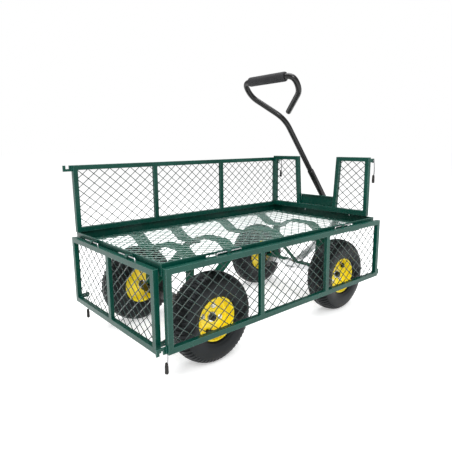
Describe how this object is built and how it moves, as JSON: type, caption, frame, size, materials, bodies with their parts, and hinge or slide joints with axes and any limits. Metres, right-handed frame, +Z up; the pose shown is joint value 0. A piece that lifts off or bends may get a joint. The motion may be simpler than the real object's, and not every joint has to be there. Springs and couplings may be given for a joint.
{
  "type": "garden cart",
  "caption": "Steel garden cart with mesh bed, fold-down mesh sides, pneumatic wheels, linked front steering and a looped pull handle.",
  "frame": {"origin": "centre of the overall box in plan, on the ground under the tyres", "axes": "+X forward toward the pull handle, +Y to the cart's left, the raised side, +Z up"},
  "size_m": [1.1198, 0.5466, 0.8453],
  "materials": {
    "green_powder_coat": "satin dark green powder coat",
    "yellow_paint": "semi-gloss yellow paint",
    "tyre_rubber": "matt black moulded rubber",
    "black_steel": "satin black powder coat",
    "grip_foam": "matt closed-cell foam",
    "zinc_steel": "bright zinc plate",
    "cap_rubber": "matt dark rubber"
  },
  "bodies": {
    "chassis": {"bed_frame": "green_powder_coat", "bed_mesh": "green_powder_coat", "strap_rear_a": "green_powder_coat", "strap_rear_b": "green_powder_coat", "strap_front_a": "green_powder_coat", "strap_front_b": "green_powder_coat", "leg_rear_left": "green_powder_coat", "leg_rear_right": "green_powder_coat", "leg_front_left": "green_powder_coat", "leg_front_right": "green_powder_coat", "rear_axle": "black_steel", "front_beam": "zinc_steel", "hinge_pin_left_a": "zinc_steel", "hinge_pin_left_b": "zinc_steel", "hinge_pin_right_a": "zinc_steel", "hinge_pin_right_b": "zinc_steel", "hinge_pin_rear_a": "zinc_steel", "hinge_pin_rear_b": "zinc_steel", "hinge_pin_front_a": "zinc_steel", "hinge_pin_front_b": "zinc_steel"},
    "left_side": {"left_frame": "green_powder_coat", "left_mesh": "green_powder_coat"},
    "right_side": {"right_frame": "green_powder_coat", "right_mesh": "green_powder_coat"},
    "rear_gate": {"rear_frame": "green_powder_coat", "rear_mesh": "green_powder_coat"},
    "front_gate": {"front_frame": "green_powder_coat", "front_mesh_left": "green_powder_coat", "front_mesh_right": "green_powder_coat", "front_plate": "green_powder_coat"},
    "steering_drawbar": {"drawbar": "zinc_steel", "handle_bolt": "zinc_steel"},
    "handle": {"handle_tube": "black_steel", "handle_loop": "black_steel", "handle_grip": "grip_foam"},
    "knuckle_left_body": {"knuckle_left": "black_steel"},
    "knuckle_right_body": {"knuckle_right": "black_steel"},
    "tie_left": {"tie_rod_left": "zinc_steel"},
    "tie_right": {"tie_rod_right": "zinc_steel"},
    "wheel_rear_left": {"tyre_rear_left": "tyre_rubber", "rim_rear_left": "yellow_paint", "valve_rear_left": "tyre_rubber"},
    "wheel_rear_right": {"tyre_rear_right": "tyre_rubber", "rim_rear_right": "yellow_paint", "valve_rear_right": "tyre_rubber"},
    "wheel_front_left": {"tyre_front_left": "tyre_rubber", "rim_front_left": "yellow_paint", "valve_front_left": "tyre_rubber"},
    "wheel_front_right": {"tyre_front_right": "tyre_rubber", "rim_front_right": "yellow_paint", "valve_front_right": "tyre_rubber"},
    "latch_front_left": {"latch_wire_front_left": "zinc_steel", "latch_cap_front_left": "cap_rubber"},
    "latch_front_right": {"latch_wire_front_right": "zinc_steel", "latch_cap_front_right": "cap_rubber"},
    "latch_rear_left": {"latch_wire_rear_left": "zinc_steel", "latch_cap_rear_left": "cap_rubber"},
    "latch_rear_right": {"latch_wire_rear_right": "zinc_steel", "latch_cap_rear_right": "cap_rubber"}
  },
  "joints": [
    {"name": "left_side_hinge", "type": "hinge", "parent": "chassis", "child": "left_side", "pos_m": [-0.0598, 0.2685, 0.3253], "axis": [-1, 0, 0], "range_deg": [0, 180]},
    {"name": "right_side_hinge", "type": "hinge", "parent": "chassis", "child": "right_side", "pos_m": [-0.0598, -0.2535, 0.3253], "axis": [-1, 0, 0], "range_deg": [0, 180]},
    {"name": "rear_gate_hinge", "type": "hinge", "parent": "chassis", "child": "rear_gate", "pos_m": [-0.5408, 0.0075, 0.323], "axis": [0, 1, 0], "range_deg": [0, 180]},
    {"name": "front_gate_hinge", "type": "hinge", "parent": "chassis", "child": "front_gate", "pos_m": [0.4054, 0.0075, 0.3342], "axis": [0, 1, 0], "range_deg": [0, 15]},
    {"name": "drawbar_yaw", "type": "hinge", "parent": "chassis", "child": "steering_drawbar", "pos_m": [0.248, 0.0075, 0.14], "axis": [0, 0, 1], "range_deg": [-12, 12]},
    {"name": "handle_pitch", "type": "hinge", "parent": "steering_drawbar", "child": "handle", "pos_m": [0.5432, 0.0075, 0.252], "axis": [0, 1, 0], "range_deg": [0, 135]},
    {"name": "kingpin_left", "type": "hinge", "parent": "chassis", "child": "knuckle_left_body", "pos_m": [0.248, 0.1575, 0.13], "axis": [0, 0, 1], "range_deg": [-12, 12]},
    {"name": "kingpin_right", "type": "hinge", "parent": "chassis", "child": "knuckle_right_body", "pos_m": [0.248, -0.1425, 0.13], "axis": [0, 0, 1], "range_deg": [-12, 12]},
    {"name": "tie_pin_left", "type": "hinge", "parent": "steering_drawbar", "child": "tie_left", "pos_m": [0.283, 0.0195, 0.106], "axis": [0, 0, 1], "range_deg": [-12, 12]},
    {"name": "tie_pin_right", "type": "hinge", "parent": "steering_drawbar", "child": "tie_right", "pos_m": [0.283, -0.0045, 0.106], "axis": [0, 0, 1], "range_deg": [-12, 12]},
    {"name": "wheel_spin_rear_left", "type": "hinge", "parent": "chassis", "child": "wheel_rear_left", "pos_m": [-0.3425, 0.2121, 0.13], "axis": [0, 1, 0], "continuous": true},
    {"name": "wheel_spin_rear_right", "type": "hinge", "parent": "chassis", "child": "wheel_rear_right", "pos_m": [-0.3425, -0.1971, 0.13], "axis": [0, 1, 0], "continuous": true},
    {"name": "wheel_spin_front_left", "type": "hinge", "parent": "knuckle_left_body", "child": "wheel_front_left", "pos_m": [0.248, 0.2121, 0.13], "axis": [0, 1, 0], "continuous": true},
    {"name": "wheel_spin_front_right", "type": "hinge", "parent": "knuckle_right_body", "child": "wheel_front_right", "pos_m": [0.248, -0.1971, 0.13], "axis": [0, 1, 0], "continuous": true},
    {"name": "latch_swing_front_left", "type": "hinge", "parent": "front_gate", "child": "latch_front_left", "pos_m": [0.4298, 0.2415, 0.5392], "axis": [0, -1, 0], "range_deg": [-8, 80]},
    {"name": "latch_swing_front_right", "type": "hinge", "parent": "front_gate", "child": "latch_front_right", "pos_m": [0.4298, -0.2265, 0.5392], "axis": [0, -1, 0], "range_deg": [-8, 80]},
    {"name": "latch_swing_rear_left", "type": "hinge", "parent": "rear_gate", "child": "latch_rear_left", "pos_m": [-0.5149, 0.2495, 0.118], "axis": [0, -1, 0], "range_deg": [-20, 45]},
    {"name": "latch_swing_rear_right", "type": "hinge", "parent": "rear_gate", "child": "latch_rear_right", "pos_m": [-0.5149, -0.2345, 0.118], "axis": [0, -1, 0], "range_deg": [-20, 45]}
  ],
  "couplings": [
    {"joint": "kingpin_left", "follows": "drawbar_yaw", "ratio": 1},
    {"joint": "kingpin_right", "follows": "drawbar_yaw", "ratio": 1},
    {"joint": "tie_pin_left", "follows": "drawbar_yaw", "ratio": -1},
    {"joint": "tie_pin_right", "follows": "drawbar_yaw", "ratio": -1}
  ]
}
